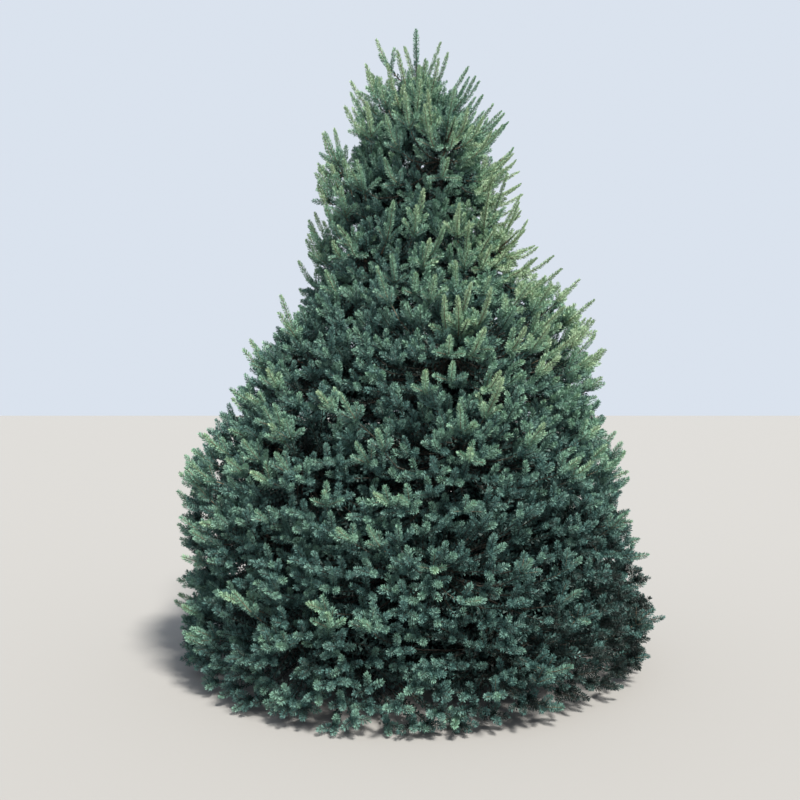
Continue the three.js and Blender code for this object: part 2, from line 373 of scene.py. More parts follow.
def underside_at(tier, r, turn):
    """The height of a tier's underside at distance r from the trunk's axis, in the direction `turn`."""
    underside, rise = TIERS[tier][1:]
    wave = WAVE_HEIGHT * math.sin(WAVES * turn + 2 * tier) if tier else 0
    return underside - rise * (crown_radius(underside, SIDEWAYS) - r) + wave * r / WAVE_REACH


def upturn(z):
    """How strongly the shoots at height z turn up."""
    return lerp(SKIRT_UPTURN, LEADER_UPTURN, z / HEIGHT)


def trunk_centre(z):
    """The trunk's middle at a height: it stands a little swept."""
    bend = math.sin(math.pi * min(z, TRUNK_TOP) / TRUNK_TOP)
    return Vector((TRUNK_SWEEP * bend, -0.5 * TRUNK_SWEEP * bend, z))


class Bend:
    """A curve from a start to an end that is pulled towards a middle point."""

    def __init__(self, start, middle, end):
        self.start = start
        self.middle = middle
        self.end = end
        points = [self.at(i / BEND_STEPS) for i in range(BEND_STEPS + 1)]
        self.length = sum((b - a).length for a, b in zip(points, points[1:]))

    def at(self, share):
        rest = 1 - share
        return rest * rest * self.start + 2 * rest * share * self.middle + share * share * self.end

    def heading(self, share):
        rest = 1 - share
        return (rest * (self.middle - self.start) + share * (self.end - self.middle)).normalized()

    def stretch(self, low, high, count):
        """Points along a part of the curve."""
        return [self.at(lerp(low, high, i / (count - 1))) for i in range(count)]


class Room:
    """The room that one mass keeps to, as in the solids: u runs across it and v up, both from -1 to 1."""

    def __init__(self, tier, index):
        self.tier = tier
        self.index = index
        self.random = seeded(SEED + TIER_SEED * tier + BOUGH_SEED * index)
        self.half = math.pi / TIERS[tier][0]
        self.azimuth = tier * TIER_TURN + 2 * index * self.half
        self.slant = SLANT if tier % 2 else -SLANT
        self.swell = 1 + self.random(-SWELLING, SWELLING)
        self.limb = self.grow_limb()

    def floor_at(self, r, turn):
        return underside_at(self.tier, r, turn)

    def ceiling_at(self, r, turn):
        if self.tier == LEADER:
            return HEIGHT + CEILING_MARGIN
        return underside_at(self.tier + 1, r, turn)

    def reach(self, u, v):
        top = HEIGHT if self.tier == LEADER else TIERS[self.tier + 1][1]
        z = lerp(TIERS[self.tier][1], top, (v + 1) / 2)
        bulge = self.swell - ROUNDING * (u * u + v * v) / 2
        return crown_radius(z, self.azimuth + u * self.half) * bulge

    def face(self, u, v, depth):
        """A place on the crown's outline over the room, which fills most of the crease between rooms."""
        level = lerp(self.place(0, -1, 0).z, self.place(0, 1, 0).z, (v + 1) / 2)
        full = crown_radius(level, self.azimuth + u * self.half)
        return self.place(u, v, depth - CREASE_FILL * (full - self.reach(u, v)))

    def place(self, u, v, depth):
        r = max(0, self.reach(u, v) - depth)
        turn = self.azimuth + u * self.half + v * self.slant
        z = lerp(self.floor_at(r, turn), self.ceiling_at(r, turn), (v + 1) / 2)
        return Vector((r * math.cos(turn), r * math.sin(turn), z))

    def grow_limb(self):
        """The limb of the room, from the trunk's axis to the mass's furthest tip."""
        if self.tier == LEADER:
            foot = trunk_centre(TRUNK_TOP)
            tip = Vector((0, 0, HEIGHT))
            return Bend(foot, foot.lerp(tip, 0.5), tip)
        middle = (self.floor_at(0, 0) + self.ceiling_at(0, 0)) / 2
        step = self.index - (TIERS[self.tier][0] - 1) / 2
        start = trunk_centre(middle + step * BOUGH_STAGGER)
        across = self.random(-LIMB_ACROSS, LIMB_ACROSS)
        tip = self.place(across, self.random(0, LIMB_UP), 0)
        return Bend(start, start.lerp(tip, 0.5) - BOUGH_SAG * UP, tip)


class Paths:
    """Paths gathered as points and edges, with named values at their points."""

    def __init__(self, *names):
        self.points = []
        self.edges = []
        self.values = {name: [] for name in names}

    def add(self, points, **values):
        first = len(self.points)
        self.points += points
        self.edges += [(i, i + 1) for i in range(first, len(self.points) - 1)]
        for name, (low, high) in values.items():
            self.values[name] += [lerp(low, high, i / (len(points) - 1)) for i in range(len(points))]

    def mesh(self, name):
        mesh = bpy.data.meshes.new(name)
        mesh.from_pydata(self.points, self.edges, [])
        for key, column in self.values.items():
            mesh.attributes.new(key, "FLOAT", "POINT").data.foreach_set("value", column)
        return mesh


def lowest_level(tier):
    """How far down the face of a tier's rooms the tips reach: further in the skirt and at the top."""
    if tier == 0:
        return SKIRT_LOW
    return TOP_LOW if tier >= LEADER - 1 else FACE_LOW


def twig_tips(room, sizes):
    """Tips spread over the face of the room in staggered rows, about a gap apart, with a seeded jitter."""
    lowest = lowest_level(room.tier)
    tall = (room.place(0, 1, 0).z - room.place(0, -1, 0).z) * (FACE_HIGH - lowest) / 2
    rows = max(FEWEST_TIPS, round(tall / sizes.twig_gap))
    for row in range(rows):
        level = lerp(lowest, FACE_HIGH, (row + 0.5) / rows)
        wide = 2 * room.half * room.reach(0, level) * FACE_ACROSS
        columns = max(FEWEST_TIPS, round(wide / sizes.twig_gap))
        for column in range(columns):
            offset = ROW_OFFSET if row % 2 else -ROW_OFFSET
            jitter = room.random(-TIP_JITTER, TIP_JITTER)
            across = 2 * (column + 0.5 + offset + jitter) / columns - 1
            up = level + room.random(-2 * TIP_JITTER, 2 * TIP_JITTER) / rows
            near = room.place(across, up, 0)
            rise = near.z / HEIGHT
            fresh_share = sizes.fresh_share * (FRESH_AT_GROUND + FRESH_RISE * rise + spikiness(near))
            fresh = room.random(0, 1) < fresh_share
            rough = sizes.roughness * clamp(rise / SMOOTH_SKIRT, LEAST_ROUGHNESS, 1)
            depth = room.random(0, 1) ** ROUGHNESS_POWER * rough * room.reach(0, 0)
            depth = 0 if fresh else depth + inset_at(sizes, near)
            tip = lifted(room.face(FACE_ACROSS * across, up, depth))
            if within_crown(tip) and tip.z < BODY_TOP:
                yield tip, fresh


def inset_at(sizes, point):
    """How far within the outline common tips end near a point: less in the skirt, least on its left."""
    rise = clamp(point.z / HEIGHT, 0, 1)
    leftness = 0.5 - 0.5 * point.x / (point.xy.length + AXIS_MARGIN)
    skirt = SKIRT_REACH * leftness * max(0, 1 - rise / SMOOTH_SKIRT)
    shoulder = spikiness(point) * clamp(SHOULDER_SLOPE * (point.x - SHOULDER_X), 0, 1)
    return lerp(sizes.inset, sizes.top_inset, rise ** INSET_POWER) + SPIKE_INSET * shoulder - skirt


def spikiness(point):
    """How far the fresh shoots near a point stand out as long slim spikes, from 0 to 1."""
    return clamp(SPIKE_RISE * (point.z / HEIGHT - SPIKE_FROM), 0, 1) * clamp(SPIKE_ACROSS * point.x, 0, 1)


def painted_sunlight(point):
    """How many tones paler than the rest the needles near a point are dealt, as painted sunlight; a value
    below nought is painted shade.
    """
    rise = point.z / HEIGHT
    slant = SUN_SLANT * min(rise - SUN_FROM, SUN_TURN - SUN_FALL * rise)
    return SUN_TONE * (rise - SHADY_RISE + slant * clamp(point.x, SHADY_X, 1))


def lifted(point):
    """The point itself, or the one over it that clears the ground."""
    return Vector((point.x, point.y, max(point.z, LOWEST_SHOOT)))


def grow_twig(room, tip, fresh):
    """A twig from the room's limb to its tip, which turns out and up as the shoots at its height do."""
    away = 1 - (tip - room.limb.end).length / room.limb.length
    if room.tier == LEADER:
        start = room.limb.at(clamp(away - LEADER_LAG, LEADER_FROM, TWIGS_TO))
    else:
        start = room.limb.at(clamp(away, lerp(BARE_SHARE, 1, TWIGS_FROM), lerp(BARE_SHARE, 1, TWIGS_TO)))
    onwards = (tip - start).normalized()
    outwards = Vector((tip.x, tip.y, 0)).normalized()
    stray = Vector((room.random(-1, 1), room.random(-1, 1), room.random(-1, 1)))
    lift = upturn(tip.z) * (lerp(FRESH_UPTURN, SPIKE_UPTURN, spikiness(tip)) if fresh else 1)
    heading = (onwards.lerp(outwards, OUTWARDNESS) + STRAY * stray + lift * UP).normalized()
    return Bend(start, lifted(tip - heading * min(LONGEST_BEND, BEND_SHARE * (tip - start).length)), tip)


def within_crown(point):
    """True where a point is over the ground and within the reach of the solids."""
    if not LOWEST_SHOOT <= point.z < HEIGHT:
        return False
    if not all(CAD_LOW[i] - OUTREACH < point[i] < CAD_HIGH[i] + OUTREACH for i in (0, 1)):
        return False
    r = math.hypot(point.x, point.y)
    turn = math.atan2(point.y, point.x)
    return r < crown_radius(point.z, turn) * REACH_SHARE + OUTREACH


def add_shoot(needles, points, girth, tone, gap=1, breadth=1):
    """Needles along a shoot, which get lighter towards its tip."""
    tones = (tone - 0.5 * TONE_RISE, tone + 0.5 * TONE_RISE)
    needles.add(points, girth=(girth, girth), breadth=(breadth, breadth), tone=tones, gap=(gap, gap))


def side_shoot(twig, share, roll, spread, length):
    """Points along a side shoot, which leaves its twig at a share of its length and curls on and up."""
    foot = twig.at(share)
    forward = twig.heading(share)
    aside = forward.cross(UP).normalized()
    over = aside.cross(forward)
    heading = between(forward, between(aside, over, roll), spread).normalized()
    return [foot + length * (s * heading + SIDE_CURL * s * s * (forward + 0.5 * UP)) for s in (0, 0.5, 1)]


def grow_shoots(room, twig, fresh, sizes, wood, needles):
    """A twig's wood, its leading shoot, the old needles behind that and its whorls of side shoots."""
    draw = room.random
    rise = twig.end.z / HEIGHT
    stretch = lerp(1, sizes.top_length, rise)
    usual = lerp(sizes.fresh_length, sizes.spike_length, rise) if fresh else sizes.shoot_length
    lead = draw(*LEAD_SPAN) * stretch * usual
    # Painted light and shade: the tones shift paler on the upper right and darker low down.
    painted_sun = painted_sunlight(twig.end)
    tone = painted_sun + draw(*(FRESH_TONES if fresh else COMMON_TONES))
    slim = lerp(1, TOP_GIRTH, rise ** TOP_GIRTH_POWER)
    spiky = spikiness(twig.end) if fresh else 0
    lead *= 1 + SPIKE_STRETCH * spiky
    lead_from = clamp(1 - lead / twig.length, 0, 1)
    lead_points = twig.stretch(lead_from, 1, count=4)
    add_shoot(needles, lead_points, slim * (1 - SPIKE_SLIMNESS * spiky), tone - SPIKE_SHADE * spiky)
    if lead_from > BARE_FOOT:
        old_from = clamp(lead_from - OLD_LENGTH / twig.length, 0, lead_from)
        old_points = twig.stretch(old_from, lead_from, count=3)
        # The old needles behind the leading shoot get the darkest tones: partly their own colour, partly
        # painted shade.
        add_shoot(needles, old_points, 1, OLD_AND_SHADED_TONE + draw(0, 1), OLD_GAP, OLD_BREADTH)
    bark = FRESH_BARK if fresh else COMMON_BARK
    radii = (sizes.twig_radius, TWIG_TAPER * sizes.twig_radius)
    wood.add(twig.stretch(0, 1, count=6), girth=radii, tone=(bark - BARK_RISE / (1 - lead_from), bark))
    side_bark = FRESH_SIDE_BARK if fresh else COMMON_SIDE_BARK
    whorl_turn = draw(-WHORL_TURN, WHORL_TURN)
    for number in range(sizes.side_shoots):
        level, place = divmod(number, WHORL)
        back = WHORL_BACK * lead + level * sizes.node_gap * draw(*NODE_SPAN)
        share = 1 - back / twig.length
        if share < BARE_FOOT:
            break
        roll = whorl_turn + math.pi * place / (WHORL - 1) + level * ROLL_STEP
        roll += draw(-ROLL_STRAY, ROLL_STRAY)
        spread = draw(*SIDE_SPREAD)
        points = side_shoot(twig, share, roll, spread, sizes.shoot_length * stretch * draw(*SIDE_SPAN))
        if not within_crown(points[-1]):
            continue
        side_tone = tone - draw(*SIDE_FADE) if fresh else painted_sun + draw(*COMMON_TONES)
        add_shoot(needles, points, slim, side_tone - LEVEL_FADE * level)
        wood.add([points[0], points[-1]], girth=SIDE_RADII, tone=side_bark)


def grow_mass(tier, index, sizes):
    """The wood and the needles of one mass, as paths."""
    room = Room(tier, index)
    wood = Paths("girth", "tone")
    needles = Paths("girth", "breadth", "tone", "gap")
    if tier == LEADER:
        wood.add(room.limb.stretch(0, 1, count=8), girth=LEADER_RADII, tone=(0, 1))
        add_shoot(needles, room.limb.stretch(*LEADER_NEEDLES, count=6), LEADER_GIRTH, LEADER_TONE)
        grow_top_whorl(room, sizes, wood, needles)
    else:
        radii = (STEM_TIP_RADIUS, STEM_END_RADIUS)
        wood.add(room.limb.stretch(STEM_END, 1, count=3), girth=radii, tone=(0, 1))
    for tip, fresh in twig_tips(room, sizes):
        grow_shoots(room, grow_twig(room, tip, fresh), fresh, sizes, wood, needles)
    grow_inner_twigs(room, sizes, wood, needles)
    if tier != LEADER:
        start = room.limb.at(END_SHOOT_FROM)
        twig = Bend(start, start.lerp(room.limb.end, 0.5), room.limb.end)
        grow_shoots(room, twig, True, sizes, wood, needles)
    return wood, needles


def grow_top_whorl(room, sizes, wood, needles):
    """The upright shoots that stand round the leader."""
    for turn, lean, drop in TOP_SHOOTS:
        out = Vector((math.cos(turn), math.sin(turn), 0))
        tip = lean * out + (HEIGHT - drop) * UP
        foot = room.limb.at(clamp(TOP_FOOT - TOP_FOOT_DROP * drop, *TOP_FEET))
        twig = Bend(foot, tip - TOP_BEND * (UP + TOP_LEAN * out), tip)
        grow_shoots(room, twig, True, sizes, wood, needles)


def grow_inner_twigs(room, sizes, wood, needles):
    """Older twigs behind the face of the mass, which carry sparse dark needles: old needles in the darkest
    tones, their own colour and also painted shade of the crown's inside.
    """
    draw = room.random
    for _ in range(round(sizes.inner_twigs * room.reach(0, 0))):
        level = draw(*INNER_LEVELS)
        depth = draw(*INNER_DEPTHS) * room.reach(0, 0) + inset_at(sizes, room.place(0, level, 0))
        tip = room.place(draw(*INNER_ACROSS), level, depth)
        start = room.limb.at(clamp(1 - depth / room.limb.length - draw(*INNER_LAG), *INNER_FEET))
        tip.z = max(tip.z, INNER_LOW)
        if tip.z > INNER_TOP:
            continue
        twig = Bend(start, start.lerp(tip, 0.5) - INNER_SAG * UP, tip)
        radii = (INNER_TAPER * sizes.twig_radius, INNER_END_RADIUS)
        wood.add(twig.stretch(0, 1, count=3), girth=radii, tone=(0, 0))
        points = twig.stretch(INNER_NEEDLES_FROM, 1, count=5)
        # The darkest tones: partly the old needles' own colour, partly painted shade of the crown's inside.
        tone = OLD_AND_SHADED_TONE + draw(*INNER_TONES)
        add_shoot(needles, points, INNER_GIRTH, tone, INNER_GAP, INNER_BREADTH)


def tube(centres, radii, sides, relief, level=False):
    """A closed tube along a path, with rings square to it or level, and relief on its skin."""
    builder = bmesh.new()
    rings = []
    for i, centre in enumerate(centres):
        forward = centres[min(i + 1, len(centres) - 1)] - centres[max(i - 1, 0)]
        forward = UP if level else forward.normalized()
        aside = UP.cross(forward)
        aside = aside.normalized() if aside.length > NEARLY_UPRIGHT else Vector((1, 0, 0))
        over = forward.cross(aside).normalized()
        aside = over.cross(forward)
        ring = []
        for side in range(sides):
            turn = 2 * math.pi * side / sides
            out = between(aside, over, turn)
            point = centre + radii[i] * out
            ring.append(builder.verts.new(point + relief(point, turn, centre) * out))
        rings.append(ring)
    for low, high in zip(rings, rings[1:]):
        for side in range(sides):
            after = (side + 1) % sides
            builder.faces.new((low[side], low[after], high[after], high[side]))
    builder.faces.new(rings[0])
    builder.faces.new(rings[-1])
    bmesh.ops.recalc_face_normals(builder, faces=builder.faces)
    return builder


def scaly(point, width, height, depth):
    """The relief of scaly bark at a point: plates that stand out between cracks."""
    near, next_near = noise.voronoi((point.x / width, point.y / width, point.z / height))[0][:2]
    plate = clamp((next_near - near) * CRACK_SLOPE, 0, 1)
    ripple = noise.noise(point / (RIPPLE_WIDTH * width))
    return depth * (plate - PLATE_DROP + RIPPLE * ripple)


def mesh_of(builder, name):
    mesh = bpy.data.meshes.new(name)
    builder.to_mesh(mesh)
    builder.free()
    mesh.shade_smooth()
    return mesh


def add_node(tree, kind, values, **settings):
    """Adds a node to a tree with its settings, and sets or links its inputs, by name or number."""
    node = tree.nodes.new(kind)
    for key, value in settings.items():
        setattr(node, key, value)
    for key, value in values.items():
        if isinstance(value, bpy.types.NodeSocket):
            tree.links.new(value, node.inputs[key])
        else:
            node.inputs[key].default_value = value
    return node


class Graph:
    """A node tree for geometry under construction, with named inputs."""

    def __init__(self, name, sockets):
        self.tree = bpy.data.node_groups.new(name, "GeometryNodeTree")
        face = self.tree.interface
        face.new_socket("Geometry", in_out="INPUT", socket_type="NodeSocketGeometry")
        for label, kind in sockets.items():
            face.new_socket(label, in_out="INPUT", socket_type="NodeSocket" + kind)
        face.new_socket("Geometry", in_out="OUTPUT", socket_type="NodeSocketGeometry")
        self.inputs = self.tree.nodes.new("NodeGroupInput").outputs

    def add(self, kind, values, **settings):
        return add_node(self.tree, kind, values, **settings)

    def math(self, operation, a, b=0.0, c=0.0):
        return self.add("ShaderNodeMath", {0: a, 1: b, 2: c}, operation=operation).outputs[0]

    def vector(self, operation, a, b=(0, 0, 0)):
        return self.add("ShaderNodeVectorMath", {0: a, 1: b}, operation=operation).outputs[0]

    def scaled(self, vector, factor):
        return self.add("ShaderNodeVectorMath", {0: vector, 3: factor}, operation="SCALE").outputs[0]

    def between(self, start, aside, angle):
        along = self.scaled(start, self.math("COSINE", angle))
        return self.vector("ADD", along, self.scaled(aside, self.math("SINE", angle)))

    def height(self, vector):
        return self.add("ShaderNodeSeparateXYZ", {0: vector}).outputs["Z"]

    def value_at_points(self, name):
        return self.add("GeometryNodeInputNamedAttribute", {"Name": name}, data_type="FLOAT").outputs[0]

    def random(self, low, high, number):
        """A random value of its own for each point, told apart from others by its number."""
        seed = self.math("ADD", self.inputs["seed"], float(number))
        return self.add("FunctionNodeRandomValue", {2: low, 3: high, 8: seed}, data_type="FLOAT").outputs[1]

    def finish(self, geometry, tone, materials):
        """Realizes the instances, deals the materials out by tone and ends the tree."""
        geometry = self.add("GeometryNodeRealizeInstances", {0: geometry}).outputs[0]
        for number, material in enumerate(materials):
            low = self.math("GREATER_THAN", tone, number - 0.5)
            high = self.math("LESS_THAN", tone, number + 0.5)
            chosen = self.math("MULTIPLY", low, high)
            values = {"Geometry": geometry, "Selection": chosen, "Material": material}
            geometry = self.add("GeometryNodeSetMaterial", values).outputs[0]
        output = self.tree.nodes.new("NodeGroupOutput")
        self.tree.links.new(geometry, output.inputs[0])
        return self.tree


def needle_tree(materials):
    """The tree that sets needles round the paths of shoots, in a spiral."""
    sockets = {"needle": "Object", "seed": "Int"}
    for key in ("gap", "length", "width", "foot_angle", "tip_angle", "lift"):
        sockets[key] = "Float"
    graph = Graph("needle_brushes", sockets)
    given = graph.inputs
    curve = graph.add("GeometryNodeMeshToCurve", {"Mesh": given["Geometry"]}).outputs[0]
    gap = graph.math("MULTIPLY", graph.value_at_points("gap"), given["gap"])
    values = {"Curve": curve, "Length": gap}
    points = graph.add("GeometryNodeResampleCurve", values, mode="LENGTH").outputs[0]

    along = graph.add("GeometryNodeSplineParameter", {}).outputs["Factor"]
    forward = graph.add("GeometryNodeInputTangent", {}).outputs[0]
    aside = graph.add("GeometryNodeInputNormal", {}).outputs[0]
    over = graph.vector("CROSS_PRODUCT", forward, aside)
    index = graph.add("GeometryNodeInputIndex", {}).outputs[0]
    out = graph.between(aside, over, graph.math("MULTIPLY", index, GOLDEN_ANGLE))
    ease = graph.math("POWER", along, TIP_POWER)
    span = graph.math("SUBTRACT", given["tip_angle"], given["foot_angle"])
    lean = graph.math("MULTIPLY_ADD", ease, span, given["foot_angle"])
    lean = graph.math("ADD", lean, graph.random(-LEAN_STRAY, LEAN_STRAY, 1))
    lift = graph.add("ShaderNodeCombineXYZ", {"Z": given["lift"]}).outputs[0]
    heading = graph.vector("ADD", graph.between(forward, out, lean), lift)
    turned = graph.add("FunctionNodeAlignRotationToVector", {"Vector": heading}, axis="Z").outputs[0]
    twist = graph.add("ShaderNodeCombineXYZ", {"Z": graph.random(0.0, math.tau, 2)}).outputs[0]
    twist = graph.add("FunctionNodeEulerToRotation", {0: twist}).outputs[0]
    values = {0: turned, 1: twist}
    turned = graph.add("FunctionNodeRotateRotation", values, rotation_space="LOCAL").outputs[0]

    swell = graph.math("POWER", graph.math("SUBTRACT", 1.0, along), FOOT_POWER)
    length = graph.math("MULTIPLY_ADD", swell, SHORTENING, 1.0)
    length = graph.math("MULTIPLY_ADD", ease, SHORTENING, length)
    length = graph.math("MULTIPLY", length, given["length"])
    length = graph.math("MULTIPLY", length, graph.random(*LENGTH_SPAN, 3))
    length = graph.math("MULTIPLY", length, graph.value_at_points("girth"))
    width = graph.math("MULTIPLY", given["width"], graph.value_at_points("breadth"))
    scale = graph.add("ShaderNodeCombineXYZ", {"X": width, "Y": width, "Z": length}).outputs[0]
    height = graph.height(graph.add("GeometryNodeInputPosition", {}).outputs[0])
    fall = graph.height(graph.vector("NORMALIZE", heading))
    tip = graph.math("MULTIPLY_ADD", fall, length, height)
    lowest = graph.math("MULTIPLY_ADD", width, -NEEDLE_SIDE, tip)
    clear = graph.math("GREATER_THAN", lowest, CLEARANCE)
    needle = graph.add("GeometryNodeObjectInfo", {"Object": given["needle"]}).outputs["Geometry"]
    values = {"Points": points, "Selection": clear, "Instance": needle, "Rotation": turned, "Scale": scale}
    needles = graph.add("GeometryNodeInstanceOnPoints", values).outputs[0]

    tone = graph.math("ADD", graph.value_at_points("tone"), graph.random(-TONE_STRAY, TONE_STRAY, 4))
    top = len(materials) - 1
    tone = graph.math("MINIMUM", graph.math("MAXIMUM", graph.math("ROUND", tone), 0.0), float(top))
    values = {"Geometry": needles, "Name": "dealt", "Value": tone}
    store = graph.add("GeometryNodeStoreNamedAttribute", values, data_type="FLOAT", domain="INSTANCE")
    return graph.finish(store.outputs[0], graph.value_at_points("dealt"), materials)


def wood_tree(materials):
    """The tree that gives the paths of twigs their thickness."""
    graph = Graph("twig_wood", {"sides": "Int"})
    curve = graph.add("GeometryNodeMeshToCurve", {"Mesh": graph.inputs["Geometry"]}).outputs[0]
    values = {"Resolution": graph.inputs["sides"], "Radius": 1.0}
    ring = graph.add("GeometryNodeCurvePrimitiveCircle", values).outputs[0]
    girth = graph.value_at_points("girth")
    values = {"Curve": curve, "Profile Curve": ring, "Scale": girth, "Fill Caps": True}
    wood = graph.add("GeometryNodeCurveToMesh", values).outputs[0]
    tone = graph.math("MAXIMUM", graph.math("ROUND", graph.value_at_points("tone")), 0.0)
    return graph.finish(wood, tone, materials)


def grown(name, paths, tree, values):
    """The plain object that a tree makes of paths."""
    holder = placed(name + "_paths", paths.mesh(name + "_paths"))
    modifier = holder.modifiers.new("grow", "NODES")
    modifier.node_group = tree
    for socket in tree.interface.items_tree:
        if socket.in_out == "INPUT" and socket.name in values:
            modifier[socket.identifier] = values[socket.name]
    depsgraph = bpy.context.evaluated_depsgraph_get()
    mesh = bpy.data.meshes.new_from_object(holder.evaluated_get(depsgraph), depsgraph=depsgraph)
    mesh.name = name
    holder.modifiers.remove(modifier)
    bpy.data.objects.remove(holder)
    for key in ("girth", "breadth", "tone", "gap", "dealt"):
        if key in mesh.attributes:
            mesh.attributes.remove(mesh.attributes[key])
    return placed(name, mesh)


def placed(name, data):
    """A new object of the scene that holds a mesh, a lamp or a camera."""
    piece = bpy.data.objects.new(name, data)
    bpy.context.scene.collection.objects.link(piece)
    return piece


def unit_needle():
    """One needle of unit length and width, pointed at both ends, that grows along +Z with a bent back."""
    mesh = bpy.data.meshes.new("unit_needle")
    straight = NEEDLE_SIDE - 1
    mesh.from_pydata([(straight, 0, 0), (NEEDLE_SIDE, 0, NEEDLE_BEND), (straight, 0, 1)], [], [(0, 1, 2)])
    return placed("unit_needle", mesh)


def plain_material(name, colour, roughness):
    """A material of one base colour."""
    material = bpy.data.materials.new(name)
    material.use_nodes = True
    shader = material.node_tree.nodes["Principled BSDF"]
    shader.inputs["Base Color"].default_value = (*colour, 1)
    shader.inputs["Roughness"].default_value = roughness
    shader.inputs["Specular IOR Level"].default_value = SHEEN
    return material


def bark_material(name, light, dark, scale, cracking):
    """Scaly bark: plates that differ a little in colour, dark cracks between them and fibres over all."""
    material = plain_material(name, light, BARK_ROUGHNESS)
    tree = material.node_tree
    shader = tree.nodes["Principled BSDF"]

    def add(kind, values, **settings):
        return add_node(tree, kind, values, **settings)

    place = add("ShaderNodeTexCoord", {}).outputs["Object"]
    place = add("ShaderNodeMapping", {"Vector": place, "Scale": BARK_STRETCH}).outputs[0]
    values = {"Vector": place, "Scale": FIBRES * scale, "Detail": 7, "Roughness": 0.65}
    fibres = add("ShaderNodeTexNoise", values).outputs[0]
    wander = (PLATE_DRIFT / scale,) * 3
    drift = add("ShaderNodeVectorMath", {0: wander, 1: fibres}, operation="MULTIPLY").outputs[0]
    place = add("ShaderNodeVectorMath", {0: place, 1: drift}, operation="ADD").outputs[0]
    values = {"Vector": place, "Scale": scale, "Randomness": 1}
    edge = add("ShaderNodeTexVoronoi", values, feature="DISTANCE_TO_EDGE").outputs[0]
    plate = add("ShaderNodeTexVoronoi", values, feature="F1").outputs["Color"]
    values = {0: edge, 1: 0.0, 2: CRACK_WIDTH, 3: 1 - cracking, 4: 1.0}
    crack = add("ShaderNodeMapRange", values, clamp=True).outputs[0]
    values = {0: plate, 1: PLATE_SHADES, 2: SHADE_BASE}
    shade = add("ShaderNodeMath", values, operation="MULTIPLY_ADD").outputs[0]
    values = {0: fibres, 1: FIBRE_SHADES, 2: shade}
    shade = add("ShaderNodeMath", values, operation="MULTIPLY_ADD").outputs[0]
    shade = add("ShaderNodeMath", {0: shade, 1: crack}, operation="MULTIPLY").outputs[0]
    ramp = add("ShaderNodeValToRGB", {"Fac": shade})
    ramp.color_ramp.elements[0].position = SHADE_BASE
    ramp.color_ramp.elements[0].color = (*dark, 1)
    ramp.color_ramp.elements[1].color = (*light, 1)
    bump = add("ShaderNodeBump", {"Strength": 0.6, "Distance": 0.0025, "Height": shade})
    tree.links.new(ramp.outputs["Color"], shader.inputs["Base Color"])
    tree.links.new(bump.outputs["Normal"], shader.inputs["Normal"])
    return material


def twig_material(name, colour):
    """Twig bark of one base colour, with fine knobs where old needles stood."""
    material = plain_material(name, colour, TWIG_ROUGHNESS)
    tree = material.node_tree
    place = add_node(tree, "ShaderNodeTexCoord", {}).outputs["Object"]
    knobs = add_node(tree, "ShaderNodeTexNoise", {"Vector": place, "Scale": KNOBS}).outputs["Fac"]
    bump = add_node(tree, "ShaderNodeBump", {"Strength": 0.5, "Distance": 0.001, "Height": knobs})
    tree.links.new(bump.outputs["Normal"], tree.nodes["Principled BSDF"].inputs["Normal"])
    return material


def settle(piece, nodes):
    """The piece stands on the root body in place of the nodes, which are hidden."""
    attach(piece, "root")
    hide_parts(*nodes)


def number_value(name, text, default, **kind):
    return FloatProperty(name=name, description=text, default=default, **kind)


def length_value(name, text, default):
    return number_value(name, text, default, unit="LENGTH", precision=4)


def angle_value(name, text, default):
    return number_value(name, text, default, subtype="ANGLE")


def colour_value(name, text, default):
    kind = {"subtype": "COLOR", "min": 0, "max": 1}
    return FloatVectorProperty(name=name, description=text, default=default, **kind)


class SpruceCrown(bpy.types.PropertyGroup):
    """Sizes of the crown's twigs and shoots."""

    twig_gap: length_value("Twig gap", "Distance between the tips of neighbouring twigs", 0.106)
    twig_radius: length_value("Twig radius", "Radius of a twig where it leaves its limb", 0.0055)
    shoot_length: length_value("Shoot length", "Length of a twig's leading shoot at the ground", 0.085)
    fresh_length: length_value("Fresh length", "Length of a fresh leading shoot at the ground", 0.12)
    spike_length: length_value("Spike length", "Length that a fresh leading shoot nears at the top", 0.17)
    top_length: number_value("Top length", "How many times as long the shoots at the top are", 1.3)
    inset: length_value("Inset", "How far within the outline the common shoots end at the ground", 0.02)
    top_inset: length_value("Top inset", "How far within the outline the common shoots end at the top", 0.19)
    node_gap: length_value("Node gap", "Distance between whorls of side shoots", 0.07)
    inner_twigs: number_value("Inner twigs", "How many older twigs a mass has, at a reach of 1 m", 220)
    side_shoots: IntProperty(name="Side shoots", description="How many side shoots a twig has", default=3)
    roughness: number_value("Roughness", "How far in some tips end, as a share of the crown's reach", 0.14)
    fresh_share: number_value("Fresh share", "The share of twigs that end in a fresh shoot", 0.17)


class SpruceNeedles(bpy.types.PropertyGroup):
    """Sizes and angles of the needles on a shoot."""

    length: length_value("Length", "Length of a needle", 0.028)
    width: length_value("Width", "Width of a needle", 0.0058)
    gap: length_value("Gap", "Distance along a shoot from one needle to the next", 0.00105)
    foot_angle: angle_value("Foot angle", "Angle of the needles at a shoot's foot to the shoot", 1.08)
    tip_angle: angle_value("Tip angle", "Angle of the needles at a shoot's tip to the shoot", 0.4)
    lift: number_value("Lift", "How strongly all needles turn up", 0.15)
    seed: IntProperty(name="Seed", description="Seed of the needles' small differences", default=7)


class SpruceTrunk(bpy.types.PropertyGroup):
    """Sizes of the trunk and of its bark."""

    foot_radius: length_value("Foot radius", "Radius of the trunk at the ground, without its flare", 0.064)
    top_radius: length_value("Top radius", "Radius of the trunk under the leader", 0.011)
    flare: length_value("Flare", "How far the trunk's foot spreads", 0.026)
    plate: length_value("Plate", "Width of a plate of bark", 0.016)
    relief: length_value("Relief", "Depth of the cracks in the bark", 0.0035)


